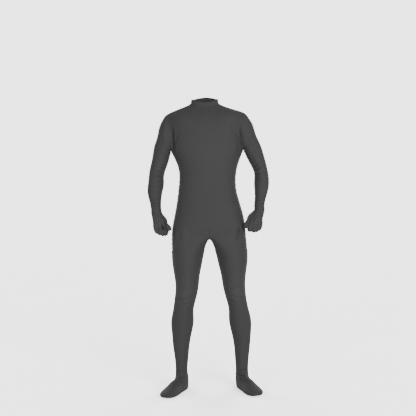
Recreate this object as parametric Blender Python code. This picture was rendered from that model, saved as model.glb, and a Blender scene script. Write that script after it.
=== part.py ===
"""Full-length dance unitard: mock neck, long sleeves, built-in gloves and built-in feet, filled out as worn.

The cloth is a thin wall. Its form is a net of section rings worked out from the tables below, smoothed
once, and then cut along the sewing lines into the pieces of the garment. Heights in the tables are above
the floor that the feet stand on; the whole garment hangs from an empty, so that the origin is where the
shoulders hold it. +X is the garment's left, and the front faces -Y.
"""

import math
from collections import namedtuple

import bmesh
import bpy
import numpy as np
from mathutils import Matrix, Vector

# Driving sizes in metres
HOLD_HEIGHT = 1.450
WALL = 0.0015
SEAM_GAP = 0.0003
SHARPEST_CORNER = 0.5
TORSO_POINTS = 16
LEG_POINTS = 12
INSEAM_POINT = 10
ARM_POINTS = 8
SIDE_POINT = TORSO_POINTS // 4
BACK_POINT = TORSO_POINTS // 2
BODY_ROUNDNESS = 2.25
LOBE_SCALE = 2.8
CENTRE = 0.003
FIT_PASSES = 6
SMOOTH_ANGLE = math.radians(40)

# Torso sections, from the crotch up: heights at the front, side and back, then the reach of each side
Torso = namedtuple("Torso", "name z_front z_side z_back right left front back lobes")
TORSO = [
    Torso("seat", 0.799, 0.790, 0.797, 0.1925, 0.1940, 0.090, 0.110, 0.024),
    Torso("hip", 0.852, 0.845, 0.852, 0.1880, 0.1905, 0.104, 0.124, 0.010),
    Torso("high_hip", 0.910, 0.905, 0.910, 0.1760, 0.1820, 0.108, 0.120, 0.003),
    Torso("belly", 0.970, 0.970, 0.970, 0.1625, 0.1655, 0.106, 0.101, 0.0),
    Torso("waist", 1.035, 1.035, 1.035, 0.1525, 0.1505, 0.102, 0.089, 0.0),
    Torso("midriff", 1.100, 1.100, 1.100, 0.1455, 0.1490, 0.105, 0.088, 0.0),
    Torso("ribs", 1.168, 1.168, 1.168, 0.1520, 0.1620, 0.114, 0.098, 0.0),
    Torso("armpit", 1.240, 1.243, 1.245, 0.1845, 0.1925, 0.122, 0.111, 0.0),
    Torso("chest", 1.318, 1.330, 1.330, 0.1890, 0.1870, 0.121, 0.119, 0.0),
    Torso("shoulder", 1.388, 1.438, 1.410, 0.1980, 0.1940, 0.106, 0.117, 0.0),
    Torso("yoke", 1.432, 1.462, 1.458, 0.1380, 0.1220, 0.084, 0.096, 0.0),
    Torso("neck_seam", 1.457, 1.484, 1.490, 0.0840, 0.0740, 0.067, 0.076, 0.0),
    Torso("collar_middle", 1.472, 1.499, 1.510, 0.0745, 0.0680, 0.061, 0.069, 0.0),
    Torso("collar_top", 1.488, 1.511, 1.530, 0.0710, 0.0650, 0.057, 0.064, 0.0),
]
ARMPIT_ROW = 7
NECK_ROW = 11

# Middle of the crotch, from back to front: place along Y and height
Crotch = namedtuple("Crotch", "y z")
CROTCH = [Crotch(0.058, 0.785), Crotch(0.003, 0.780), Crotch(-0.048, 0.785)]

# Armhole of each side, run round from the armpit to the front, the shoulder and the back
Armhole = namedtuple("Armhole", "row column x y z")
ARMHOLE = [
    Armhole(0, 3, 0.173, -0.050, 1.250),
    Armhole(1, 3, 0.177, -0.066, 1.332),
    Armhole(2, 3, 0.186, -0.044, 1.412),
    Armhole(2, 5, 0.184, 0.052, 1.415),
    Armhole(1, 5, 0.176, 0.070, 1.336),
    Armhole(0, 5, 0.173, 0.054, 1.252),
]
ARMHOLE_LOOP = [(0, 4), (0, 3), (1, 3), (2, 3), (2, 4), (2, 5), (1, 5), (0, 5)]
ARMHOLE_STEPS = (3, 4, 11, 12)

# Sleeve sections: outer and inner edge of both sleeves, the heights of these, half depth and middle
Arm = namedtuple("Arm", "z_outer z_inner right_outer right_inner left_outer left_inner depth y")
ARM = [
    Arm(1.413, 1.2375, 0.2210, 0.1865, 0.2200, 0.1930, 0.064, 0.002),
    Arm(1.372, 1.2290, 0.2425, 0.1890, 0.2445, 0.1970, 0.060, 0.003),
    Arm(1.322, 1.2130, 0.2545, 0.1930, 0.2585, 0.2040, 0.056, 0.005),
    Arm(1.270, 1.1900, 0.2725, 0.2000, 0.2810, 0.2150, 0.052, 0.007),
    Arm(1.210, 1.1580, 0.2840, 0.2120, 0.2990, 0.2310, 0.049, 0.008),
    Arm(1.150, 1.1180, 0.2990, 0.2240, 0.3130, 0.2450, 0.046, 0.006),
    Arm(1.090, 1.0750, 0.3070, 0.2255, 0.3210, 0.2430, 0.043, 0.001),
    Arm(1.034, 1.0280, 0.3115, 0.2350, 0.3155, 0.2435, 0.038, -0.008),
    Arm(0.985, 0.9850, 0.3010, 0.2410, 0.3000, 0.2425, 0.030, -0.018),
    Arm(0.948, 0.9480, 0.2945, 0.2415, 0.2920, 0.2375, 0.025, -0.026),
]

# Leg sections, from the thigh down: outer and inner edge of both legs, reach to the front and back
Leg = namedtuple("Leg", "z right_outer right_inner left_inner left_outer front back")
LEG = [
    Leg(0.715, 0.1930, 0.0270, 0.0340, 0.1985, 0.098, 0.106),
    Leg(0.655, 0.1900, 0.0405, 0.0475, 0.1955, 0.092, 0.094),
    Leg(0.595, 0.1820, 0.0535, 0.0605, 0.1860, 0.084, 0.083),
    Leg(0.535, 0.1775, 0.0615, 0.0690, 0.1815, 0.074, 0.073),
    Leg(0.475, 0.1850, 0.0760, 0.0825, 0.1855, 0.063, 0.067),
    Leg(0.415, 0.1950, 0.0905, 0.0955, 0.1960, 0.050, 0.074),
    Leg(0.355, 0.2065, 0.0915, 0.0960, 0.2085, 0.037, 0.087),
    Leg(0.290, 0.2040, 0.1045, 0.1075, 0.2065, 0.029, 0.090),
    Leg(0.225, 0.2000, 0.1175, 0.1185, 0.2000, 0.021, 0.080),
    Leg(0.160, 0.1920, 0.1255, 0.1225, 0.1915, 0.015, 0.072),
    Leg(0.105, 0.1895, 0.1310, 0.1250, 0.1865, 0.014, 0.070),
]
# Foot sections along the foot: top and bottom point, half width, and how far the section is turned out
Foot = namedtuple("Foot", "top_forward top_z low_forward low_z half_width turn")
FOOT = [
    Foot(0.049, 0.084, -0.058, 0.050, 0.0315, 8.0),
    Foot(0.069, 0.070, -0.052, 0.012, 0.0320, 17.0),
    Foot(0.092, 0.059, -0.012, 0.000, 0.0340, 26.0),
    Foot(0.120, 0.047, 0.050, 0.000, 0.0380, 26.0),
    Foot(0.149, 0.035, 0.106, 0.000, 0.0425, 26.0),
    Foot(0.172, 0.026, 0.149, 0.000, 0.0400, 26.0),
    Foot(0.185, 0.020, 0.176, 0.002, 0.0310, 26.0),
    Foot(0.190, 0.015, 0.187, 0.006, 0.0190, 26.0),
]
SOLE_FLATNESS = 3.4
SOLE_LIFT = 0.010
SOLE_ROW = 2
SOLE_STEPS = (5, 6, 7, 8)

# Glove sections, from the wrist to the curled finger tips
Hand = namedtuple("Hand", "x y z pitch half_width half_depth fingers")
HAND = [
    Hand(0.2680, -0.0260, 0.9477, 0.0, 0.0265, 0.0250, 0.0),
    Hand(0.2655, -0.0290, 0.9260, 4.0, 0.0285, 0.0235, 0.0),
    Hand(0.2575, -0.0330, 0.9020, 6.0, 0.0325, 0.0220, 0.0),
    Hand(0.2510, -0.0370, 0.8800, 6.0, 0.0355, 0.0205, 0.1),
    Hand(0.2480, -0.0395, 0.8610, 8.0, 0.0380, 0.0190, 0.4),
    Hand(0.2475, -0.0400, 0.8440, 22.0, 0.0385, 0.0155, 0.8),
    Hand(0.2475, -0.0345, 0.8295, 52.0, 0.0380, 0.0130, 1.0),
    Hand(0.2475, -0.0210, 0.8200, 88.0, 0.0370, 0.0120, 1.0),
    Hand(0.2475, -0.0050, 0.8240, 122.0, 0.0360, 0.0115, 1.0),
    Hand(0.2475, 0.0060, 0.8360, 155.0, 0.0350, 0.0110, 1.0),
    Hand(0.2475, 0.0095, 0.8510, 178.0, 0.0340, 0.0105, 1.0),
    Hand(0.2475, 0.0080, 0.8640, 194.0, 0.0325, 0.0090, 1.0),
    Hand(0.2475, 0.0060, 0.8705, 198.0, 0.0295, 0.0055, 1.0),
]
HAND_POINTS = 16
PALM_ROUNDNESS = 2.2
SETTLED_ROW = 3
THUMB_ROW = 1
VALLEY = 0.72
KNUCKLE_SLOPE = 0.018
KNUCKLE_START = -0.1

# Thumb sections: edge towards the leg, edge towards the palm, and half depth
Thumb = namedtuple("Thumb", "inner_x inner_z palm_x palm_z depth y")
THUMB = [
    Thumb(0.2235, 0.9080, 0.2105, 0.8705, 0.0160, -0.042),
    Thumb(0.2080, 0.8870, 0.2095, 0.8600, 0.0130, -0.049),
    Thumb(0.1980, 0.8690, 0.2110, 0.8490, 0.0110, -0.056),
    Thumb(0.1905, 0.8525, 0.2100, 0.8390, 0.0100, -0.060),
    Thumb(0.1880, 0.8400, 0.2010, 0.8325, 0.0065, -0.061),
]

# How the sides differ: shift of palm and thumb towards the leg, forward and up, and the feet's turn
Side = namedtuple("Side", "name sign palm_in thumb_in forward up toes_out")
SIDES = [
    Side("right", -1, 0.000, 0.000, 0.000, 0.000, 0.95),
    Side("left", 1, 0.007, 0.011, 0.014, 0.003, 0.80),
]

# Large folds: middle, the way they run, half length, half width and depth (a ridge is negative)
Fold = namedtuple("Fold", "x y z run_x run_y run_z length width depth")
FOLDS = [
    Fold(-0.187, -0.070, 1.290, 0.10, 0.00, 1.00, 0.070, 0.020, 0.0060),
    Fold(0.190, -0.070, 1.285, -0.10, 0.00, 1.00, 0.065, 0.020, 0.0060),
    Fold(-0.187, 0.078, 1.290, 0.10, 0.00, 1.00, 0.070, 0.020, 0.0050),
    Fold(0.190, 0.078, 1.285, -0.10, 0.00, 1.00, 0.065, 0.020, 0.0050),
    Fold(0.250, -0.030, 1.085, 1.00, 0.00, 0.35, 0.030, 0.016, 0.0040),
    Fold(-0.230, -0.030, 1.080, -1.00, 0.00, 0.30, 0.028, 0.016, 0.0030),
    Fold(0.003, 0.125, 0.850, 0.00, 0.00, 1.00, 0.060, 0.022, 0.0050),
]

# Zip at the centre back, from the top of the collar down
ZIP_BOTTOM_ROW = 3
ZIP_HALF_WIDTH = 0.0030
ZIP_THICK = 0.0012
ZIP_SUNK = 0.0001
NEAR = 0.0015
ZIP_TAIL_REACH = 0.8
ZIP_TAIL_HALF_WIDTH = 0.00045

# Slider and pull tab: sizes across, along the zip and out from the cloth
SLIDER_HALF_WIDTH = 0.0042
SLIDER_LENGTH = 0.0110
SLIDER_THICK = 0.0018
SLIDER_DROP = 0.0075
BAIL_HALF_WIDTH = 0.0008
BAIL_INNER = 0.0018
BAIL_THICK = 0.0010
BAIL_RISE = 0.0020
TAB_HALF_WIDTH = 0.0034
TAB_EYE_HALF_WIDTH = 0.0016
TAB_EYE_LENGTH = 0.0042
TAB_LENGTH = 0.0230
TAB_BAR = 0.0010
TAB_WIDTHS = [0.72, 0.80, 0.86, 1.0, 0.7]
TAB_SHOULDER = 0.9
BAIL_SUNK = 0.0003

CLOTH_COLOURS = {
    "body": (0.052, 0.052, 0.056, 1.0),
    "collar": (0.048, 0.048, 0.052, 1.0),
    "hand": (0.055, 0.054, 0.056, 1.0),
}
METAL_COLOUR = (0.09, 0.09, 0.10, 1.0)


class Form:
    """A net of points and faces, each face with the name of its piece; triangles radiate from the knots."""

    def __init__(self):
        self.points = []
        self.faces = []
        self.pieces = []
        self.knots = set()

    def ring(self, points):
        start = len(self.points)
        self.points.extend(points)
        return list(range(start, len(self.points)))

    def face(self, corners, piece):
        self.faces.append(corners)
        self.pieces.append(piece)

    def bridge(self, upper, lower, piece_of, flip):
        """Join two rings of as many points; piece_of names the piece for each step round the ring."""
        count = len(upper)
        for i in range(count):
            j = (i + 1) % count
            corners = (upper[i], lower[i], lower[j], upper[j])
            self.face(corners[::-1] if flip else corners, piece_of(i))

    def cap(self, ring, start, piece, flip):
        """Close a ring with a ladder of faces between its two sides, from the point at start."""
        count = len(ring)
        walk = [ring[(start + i) % count] for i in range(count)]
        half = count // 2
        for i in range(half):
            one, two = walk[i], walk[i + 1]
            three, four = walk[count - i - 1], walk[(count - i) % count]
            corners = [one, two, three, four]
            corners = [c for n, c in enumerate(corners) if c not in corners[:n]]
            self.face(tuple(corners if flip else corners[::-1]), piece)


def power(value, exponent):
    return math.copysign(abs(value) ** exponent, value)


def torso_ring(row):
    """Sixteen points round one torso section, from the centre front round by the left side."""
    points = []
    for i in range(TORSO_POINTS):
        angle = 2 * math.pi * i / TORSO_POINTS
        across = power(math.sin(angle), 2 / BODY_ROUNDNESS)
        along = power(math.cos(angle), 2 / BODY_ROUNDNESS)
        reach_x = row.left if across > 0 else row.right
        reach_y = row.front if along > 0 else row.back
        end_z = row.z_front if along > 0 else row.z_back
        z = row.z_side + (end_z - row.z_side) * math.cos(angle) ** 2
        middle = CENTRE * (1 - across * across)
        lobe = math.cos(angle) * math.sin(angle) ** 2 * LOBE_SCALE * row.lobes
        points.append((middle + across * reach_x, -along * reach_y - lobe, z))
    return points


def edge_ring(count, start, end, depth, y, sign):
    """A ring through two edge points given as (x, z), round the front first and then the back."""
    points = []
    for i in range(count):
        angle = 2 * math.pi * i / count
        share = (1 - math.cos(angle)) / 2
        x = start[0] + (end[0] - start[0]) * share
        z = start[1] + (end[1] - start[1]) * share
        points.append((sign * x, y - depth * math.sin(angle), z))
    return points


def leg_ring(row, side):
    """Twelve points round a leg: point 1 is the front, 4 the outer side, 7 the back, 10 the inseam."""
    inner = row.left_inner if side.sign > 0 else row.right_inner
    outer = row.left_outer if side.sign > 0 else row.right_outer
    middle = (inner + outer) / 2
    half = (outer - inner) / 2
    y = (row.back - row.front) / 2
    depth = (row.back + row.front) / 2
    points = []
    for i in range(LEG_POINTS):
        angle = 2 * math.pi * (i - INSEAM_POINT) / LEG_POINTS
        x = middle - half * math.cos(angle)
        points.append((side.sign * x, y - depth * math.sin(angle), row.z))
    return points


def foot_ring(row, side):
    """Twelve points round one foot section, flatter below, where the foot stands."""
    ankle = LEG[-1]
    if side.sign > 0:
        middle = (ankle.left_inner + ankle.left_outer) / 2
    else:
        middle = (ankle.right_inner + ankle.right_outer) / 2
    turn = math.radians(row.turn * side.toes_out)
    forward = Vector((side.sign * math.sin(turn), -math.cos(turn), 0.0))
    outward = Vector((side.sign * math.cos(turn), math.sin(turn), 0.0))
    heel = Vector((side.sign * middle, (ankle.back - ankle.front) / 2, 0.0))
    top = heel + forward * row.top_forward + Vector((0, 0, row.top_z))
    low = heel + forward * row.low_forward + Vector((0, 0, row.low_z))
    centre = (top + low) / 2
    half = (top - low) / 2
    points = []
    for i in range(LEG_POINTS):
        angle = 2 * math.pi * (i - 1) / LEG_POINTS
        up = math.cos(angle)
        across = math.sin(angle)
        if up < 0 and row.low_z < SOLE_LIFT:
            across = power(across, 2 / SOLE_FLATNESS)
            up = power(up, 2 / SOLE_FLATNESS)
        point = centre + half * up + outward * (row.half_width * across)
        points.append((point.x, point.y, max(point.z, 0.0)))
    return points


def hand_ring(row, side, place):
    """Sixteen points round a glove: the thumb side first, then the back of the hand, then the palm."""
    pitch = math.radians(row.pitch)
    outward = Vector((0.0, -math.cos(pitch), -math.sin(pitch)))
    settle = min(place / SETTLED_ROW, 1.0)
    half = HAND_POINTS // 2
    centre = Vector((row.x, row.y, row.z)) + settle * Vector((-side.palm_in, -side.forward, side.up))
    points = []
    for i in range(HAND_POINTS):
        turn = i if i <= half else HAND_POINTS - i
        across = 2 * turn / half - 1
        facing = 0 if i in (0, half) else (1 if i < half else -1)
        palm = (1 - abs(across) ** PALM_ROUNDNESS) ** (1 / PALM_ROUNDNESS)
        finger = VALLEY if turn % 2 == 0 else 1.0
        depth = facing * row.half_depth * (palm + (finger - palm) * row.fingers)
        slope = KNUCKLE_SLOPE * row.fingers * max(across - KNUCKLE_START, 0.0) ** 2
        point = centre + Vector((row.half_width * across, 0, slope)) + outward * depth
        if place == 0:
            angle = 2 * math.pi * i / HAND_POINTS
            point = centre - Vector((row.half_width * math.cos(angle), row.half_depth * math.sin(angle), 0))
        points.append((side.sign * point.x, point.y, point.z))
    return points


def thumb_ring(row, side):
    inner = (row.inner_x - side.thumb_in, row.inner_z + side.up)
    palm = (row.palm_x - side.palm_in, row.palm_z + side.up)
    return edge_ring(ARM_POINTS, inner, palm, row.depth, row.y - side.forward, side.sign)


def body_form():
    """Torso, collar, sleeves, legs and feet in one net."""
    form = Form()
    rows = [form.ring(torso_ring(row)) for row in TORSO]
    crotch = form.ring([(CENTRE, c.y, c.z) for c in CROTCH])

    for side in SIDES:
        for hole in ARMHOLE:
            column = hole.column if side.sign > 0 else TORSO_POINTS - hole.column
            form.points[rows[ARMPIT_ROW + hole.row][column]] = (side.sign * hole.x, hole.y, hole.z)

    def torso_piece(i):
        if i < SIDE_POINT or i >= TORSO_POINTS - SIDE_POINT:
            return "front"
        return "back_left" if i < BACK_POINT else "back_right"

    for n in range(len(TORSO) - 1):
        for i in range(TORSO_POINTS):
            if n in (ARMPIT_ROW, ARMPIT_ROW + 1) and i in ARMHOLE_STEPS:
                continue
            j = (i + 1) % TORSO_POINTS
            piece = "collar" if n >= NECK_ROW else torso_piece(i)
            form.face((rows[n + 1][i], rows[n][i], rows[n][j], rows[n + 1][j]), piece)

    for side in SIDES:
        flip = side.sign < 0

        def column(i):
            return i if side.sign > 0 else (TORSO_POINTS - i) % TORSO_POINTS

        ring = [rows[ARMPIT_ROW + r][column(c)] for r, c in ARMHOLE_LOOP]
        for row in ARM:
            outer = row.left_outer if side.sign > 0 else row.right_outer
            inner = row.left_inner if side.sign > 0 else row.right_inner
            start, end = (inner, row.z_inner), (outer, row.z_outer)
            below = form.ring(edge_ring(ARM_POINTS, start, end, row.depth, row.y, side.sign))
            form.bridge(ring, below, lambda i: "sleeve_" + side.name, flip)
            ring = below

        def leg_piece(i):
            return "front" if i < SIDE_POINT or i >= INSEAM_POINT else "back_" + side.name

        def foot_piece(i):
            return "sole_" + side.name if i in SOLE_STEPS else "foot_" + side.name

        ring = [rows[0][column(i)] for i in range(BACK_POINT + 1)] + crotch
        for row in LEG:
            below = form.ring(leg_ring(row, side))
            form.bridge(ring, below, leg_piece, flip)
            ring = below
        for n, row in enumerate(FOOT):
            below = form.ring(foot_ring(row, side))
            if n < SOLE_ROW:
                form.bridge(ring, below, lambda i: "foot_" + side.name, flip)
            else:
                form.bridge(ring, below, foot_piece, flip)
            ring = below
        form.cap(ring, SIDE_POINT, "foot_" + side.name, flip)
    return form


def hand_form(side):
    """A glove in a loose fist, with its separately cut thumb."""
    form = Form()
    flip = side.sign < 0
    rows = [form.ring(hand_ring(row, side, n)) for n, row in enumerate(HAND)]
    if side.sign > 0:
        shift = (ARM[-1].left_outer + ARM[-1].left_inner) / 2 - HAND[0].x
        for index in rows[0]:
            x, y, z = form.points[index]
            form.points[index] = (x + shift, y, z)
    for n in range(len(HAND) - 1):
        for i in range(HAND_POINTS):
            if n in (THUMB_ROW, THUMB_ROW + 1) and i in (0, HAND_POINTS - 1):
                continue
            j = (i + 1) % HAND_POINTS
            corners = (rows[n][i], rows[n + 1][i], rows[n + 1][j], rows[n][j])
            form.face(corners[::-1] if flip else corners, "glove_" + side.name)
    form.cap(rows[-1], 0, "glove_" + side.name, flip)
    top, mid, low = rows[THUMB_ROW], rows[THUMB_ROW + 1], rows[THUMB_ROW + 2]
    ring = [top[0], top[1], mid[1], low[1], low[0], low[-1], mid[-1], top[-1]]
    for row in THUMB:
        below = form.ring(thumb_ring(row, side))
        form.bridge(ring, below, lambda i: "thumb_" + side.name, flip)
        ring = below
    form.cap(ring, 0, "thumb_" + side.name, flip)
    return form


def net_object(form, names):
    mesh = bpy.data.meshes.new("net")
    mesh.from_pydata(form.points, [], form.faces)
    mesh.polygons.foreach_set("material_index", [names.index(piece) for piece in form.pieces])
    for _ in names:
        mesh.materials.append(None)
    net = bpy.data.objects.new("net", mesh)
    bpy.context.scene.collection.objects.link(net)
    return net


def smoothed(form):
    """Smooth the net once by subdivision, its cage moved so that the surface passes the sections."""
    names = sorted(set(form.pieces))
    net = net_object(form, names)
    smooth = net.modifiers.new("smooth", "SUBSURF")
    smooth.levels = smooth.render_levels = 1
    smooth.use_limit_surface = True
    aim = np.array(form.points)
    cage = aim.copy()
    for _ in range(FIT_PASSES + 1):
        net.data.vertices.foreach_set("co", cage.astype(np.float32).ravel())
        net.data.update()
        bpy.context.view_layer.update()
        fine = net.evaluated_get(bpy.context.evaluated_depsgraph_get()).to_mesh()
        points = np.empty(len(fine.vertices) * 3, dtype=np.float32)
        fine.vertices.foreach_get("co", points)
        points = points.reshape(-1, 3).astype(float)
        cage += aim - points[:len(aim)]
    result = Form()
    result.knots = set(range(len(aim)))
    result.points = [tuple(point) for point in points]
    for polygon in fine.polygons:
        result.face(tuple(polygon.vertices), names[polygon.material_index])
    bpy.data.objects.remove(net)
    return result


def point_normals(points, faces):
    normals = np.zeros_like(points)
    for corners in faces:
        if len(corners) == 4:
            a, b, c, d = (points[k] for k in corners)
            normal = np.cross(c - a, d - b)
        else:
            a, b, c = (points[k] for k in corners)
            normal = np.cross(b - a, c - a)
        for k in corners:
            normals[k] += normal
    return normals / np.maximum(np.linalg.norm(normals, axis=1, keepdims=True), 1e-12)


def folded(points, normals):
    """Press the large folds in, each a soft trough that fades out along its length."""
    moved = points.copy()
    for fold in FOLDS:
        run = np.array([fold.run_x, fold.run_y, fold.run_z])
        run /= np.linalg.norm(run)
        away = points - np.array([fold.x, fold.y, fold.z])
        along = away @ run
        across = np.linalg.norm(away - np.outer(along, run), axis=1)
        fade = np.exp(-(along / fold.length) ** 2 - (across / fold.width) ** 2)
        moved -= normals * (fade * fold.depth)[:, None]
    return moved


def inward_steps(points, normals, faces):
    """The border edges of a piece, and the steps along the cloth that take its border points inwards."""
    edges = [(k, corners[(n + 1) % len(corners)]) for corners in faces for n, k in enumerate(corners)]
    inside = {(two, one) for one, two in edges}
    border = [edge for edge in edges if edge not in inside]
    steps = {}
    for one, two in border:
        along = points[two] - points[one]
        for k in (one, two):
            inward = np.cross(normals[k], along)
            steps.setdefault(k, []).append(inward / np.linalg.norm(inward))
    for k, found in steps.items():
        total = sum(found)
        total /= np.linalg.norm(total)
        steps[k] = total / max(float(total @ found[0]), SHARPEST_CORNER)
    return border, steps


def halves(corners, knots):
    """Split a face in triangles, a four-sided one from its knot to the opposite corner."""
    if len(corners) == 3:
        return [corners]
    first = next((n for n, k in enumerate(corners) if k in knots), 0)
    a, b, c, d = corners[first:] + corners[:first]
    return [(a, b, c), (a, c, d)]


def cloth_piece(name, points, normals, faces, knots, extra):
    """Cut one piece out of a form and give it its wall; extra moves chosen border points sideways."""
    border, steps = inward_steps(points, normals, faces)
    used = sorted({k for corners in faces for k in corners})
    index = {k: n for n, k in enumerate(used)}
    outer = []
    for k in used:
        point = points[k]
        if k in steps:
            point = point + steps[k] * (SEAM_GAP / 2)
        outer.append(point + np.array([extra.get(k, 0.0), 0.0, 0.0]))
    inner = [point - normals[k] * WALL for k, point in zip(used, outer)]
    count = len(used)
    solid = []
    for corners in faces:
        for part in halves(corners, knots):
            solid.append(tuple(index[k] for k in part))
            solid.append(tuple(count + index[k] for k in reversed(part)))
    for one, two in border:
        a, b = index[one], index[two]
        solid.append((b, a, count + a))
        solid.append((b, count + a, count + b))
    return mesh_object(name, outer + inner, solid)


def mesh_object(name, points, faces):
    mesh = bpy.data.meshes.new(name)
    mesh.from_pydata([tuple(point) for point in points], [], faces)
    mesh.shade_smooth()
    mesh.set_sharp_from_angle(angle=SMOOTH_ANGLE)
    piece = bpy.data.objects.new(name, mesh)
    bpy.context.scene.collection.objects.link(piece)
    return piece


def finish(piece, colour, roughness, metallic):
    material = bpy.data.materials.new(piece.name)
    material.use_nodes = True
    shader = material.node_tree.nodes["Principled BSDF"]
    shader.inputs["Base Color"].default_value = colour
    shader.inputs["Roughness"].default_value = roughness
    shader.inputs["Metallic"].default_value = metallic
    piece.data.materials.append(material)


def zip_points(form):
    """The smoothed body's centre-back points from the collar's top to the zip's lower end."""
    low = TORSO[ZIP_BOTTOM_ROW].z_back - NEAR
    found = []
    for k, (x, y, z) in enumerate(form.points):
        if abs(x - CENTRE) < NEAR and y > 0 and z > low:
            found.append(k)
    return sorted(found, key=lambda k: -form.points[k][2])


def zip_strip(line, normals, tail):
    """The zip's chain: a flat strip between the two backs, tapered into the seam at its lower end."""
    points = []
    rows = list(zip(line, normals)) + [tail]
    for n, (point, normal) in enumerate(rows):
        half = ZIP_TAIL_HALF_WIDTH if n == len(rows) - 1 else ZIP_HALF_WIDTH
        top = point - normal * ZIP_SUNK
        low = top - normal * ZIP_THICK
        across = np.array([half, 0.0, 0.0])
        points += [top - across, top + across, low + across, low - across]
    faces = [(0, 2, 1), (0, 3, 2)]
    for n in range(len(rows) - 1):
        for i in range(4):
            j = (i + 1) % 4
            a, b = 4 * n + i, 4 * n + j
            faces.append((a, b, a + 4))
            faces.append((b, b + 4, a + 4))
    last = 4 * (len(rows) - 1)
    faces += [(last, last + 1, last + 2), (last, last + 2, last + 3)]
    return mesh_object("zip_chain", points, faces)


def box(mesh, x0, x1, y0, y1, z0, z1):
    size = Matrix.Diagonal((x1 - x0, y1 - y0, z1 - z0, 1.0))
    place = Matrix.Translation(((x0 + x1) / 2, (y0 + y1) / 2, (z0 + z1) / 2))
    bmesh.ops.create_cube(mesh, size=1.0, matrix=place @ size)


def plate_with_eye(name, xs, zs, widths, eye, y0, y1):
    """A plate on a grid of lengths, each with its own width, open at one cell."""
    mesh = bmesh.new()
    grid = {}
    for i, x in enumerate(xs):
        for j, z in enumerate(zs):
            grid[i, j] = mesh.verts.new((x * widths[j], y0, z))
    for i in range(len(xs) - 1):
        for j in range(len(zs) - 1):
            if (i, j) != eye:
                mesh.faces.new((grid[i, j], grid[i + 1, j], grid[i + 1, j + 1], grid[i, j + 1]))
    grown = bmesh.ops.extrude_face_region(mesh, geom=list(mesh.faces))
    lifted = [item for item in grown["geom"] if isinstance(item, bmesh.types.BMVert)]
    bmesh.ops.translate(mesh, verts=lifted, vec=(0.0, y1 - y0, 0.0))
    bmesh.ops.recalc_face_normals(mesh, faces=mesh.faces)
    bmesh.ops.triangulate(mesh, faces=mesh.faces)
    return placed(mesh, name)


def placed(mesh, name):
    data = bpy.data.meshes.new(name)
    mesh.to_mesh(data)
    mesh.free()
    piece = bpy.data.objects.new(name, data)
    bpy.context.scene.collection.objects.link(piece)
    return piece


def zip_slider():
    """The slider's plate with its bail, an arch along the zip that the pull tab hangs in."""
    outer = BAIL_INNER + BAIL_THICK
    half_length = SLIDER_LENGTH / 2
    foot = SLIDER_THICK - BAIL_SUNK
    under = SLIDER_THICK + BAIL_RISE
    crown = under + BAIL_THICK
    profile = [
        (outer, foot), (outer, under), (BAIL_INNER, crown), (-BAIL_INNER, crown), (-outer, under),
        (-outer, foot), (-BAIL_INNER, foot), (-BAIL_INNER, under), (BAIL_INNER, under), (BAIL_INNER, foot),
    ]
    plate = bmesh.new()
    box(plate, -SLIDER_HALF_WIDTH, SLIDER_HALF_WIDTH, 0.0, SLIDER_THICK, -half_length, half_length)
    slider = placed(plate, "zip_slider")
    arch = bmesh.new()
    face = arch.faces.new([arch.verts.new((-BAIL_HALF_WIDTH, y, z)) for z, y in profile])
    grown = bmesh.ops.extrude_face_region(arch, geom=[face])
    lifted = [item for item in grown["geom"] if isinstance(item, bmesh.types.BMVert)]
    bmesh.ops.translate(arch, verts=lifted, vec=(2 * BAIL_HALF_WIDTH, 0.0, 0.0))
    bmesh.ops.recalc_face_normals(arch, faces=arch.faces)
    bail = placed(arch, "bail_shape")
    bail.hide_render = True
    bail.display_type = "WIRE"
    join = slider.modifiers.new("bail", "BOOLEAN")
    join.operation = "UNION"
    join.object = bail
    return slider, bail


def pull_tab():
    """The tab: a cross bar in the bail, two rails round the eye, and a plate that widens to its end."""
    xs = [-TAB_HALF_WIDTH, -TAB_EYE_HALF_WIDTH, TAB_EYE_HALF_WIDTH, TAB_HALF_WIDTH]
    half = TAB_BAR / 2
    zs = [half, -half, -half - TAB_EYE_LENGTH, -TAB_LENGTH * TAB_SHOULDER, -TAB_LENGTH]
    return plate_with_eye("pull_tab", xs, zs, TAB_WIDTHS, (1, 1), -half, half)


def zip_pieces(points, normals, line):
    """The chain, and near its upper end the slider with its tab, set square on the cloth there."""
    tail_start, tail_end = points[line[-1]], points[line[-1]] + (points[line[-1]] - points[line[-2]])
    tail = (tail_start + (tail_end - tail_start) * ZIP_TAIL_REACH, normals[line[-1]])
    chain = zip_strip([points[k] for k in line], [normals[k] for k in line], tail)
    top, below = Vector(points[line[0]]), Vector(points[line[1]])
    up = (top - below).normalized()
    out = Vector((0.0, up.z, -up.y))
    if out.y < 0:
        out = -out
    seat = bpy.data.objects.new("slider_seat", None)
    bpy.context.scene.collection.objects.link(seat)
    turn = math.atan2(up.y, up.z)
    seat.location = top - up * SLIDER_DROP + out * SEAM_GAP
    seat.rotation_euler = (-turn, 0.0, 0.0)
    slider, bail = zip_slider()
    slider.parent = seat
    bail.parent = seat
    tab = pull_tab()
    tab.parent = seat
    tab.location = (0.0, SLIDER_THICK + BAIL_RISE / 2, 0.0)
    finish(chain, METAL_COLOUR, 0.6, 0.0)
    finish(slider, METAL_COLOUR, 0.4, 0.9)
    finish(tab, METAL_COLOUR, 0.4, 0.9)
    return [chain, seat]


def opened(faces, points, normals, line):
    """Part a ring of faces along a line of points, which the faces on the right get copies of."""
    copies = {k: len(points) + n for n, k in enumerate(line)}
    points = np.vstack([points, points[line]])
    normals = np.vstack([normals, normals[line]])
    parted = []
    for corners in faces:
        if sum(points[k][0] for k in corners) < CENTRE * len(corners):
            corners = tuple(copies.get(k, k) for k in corners)
        parted.append(corners)
    return parted, points, normals, copies


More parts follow.
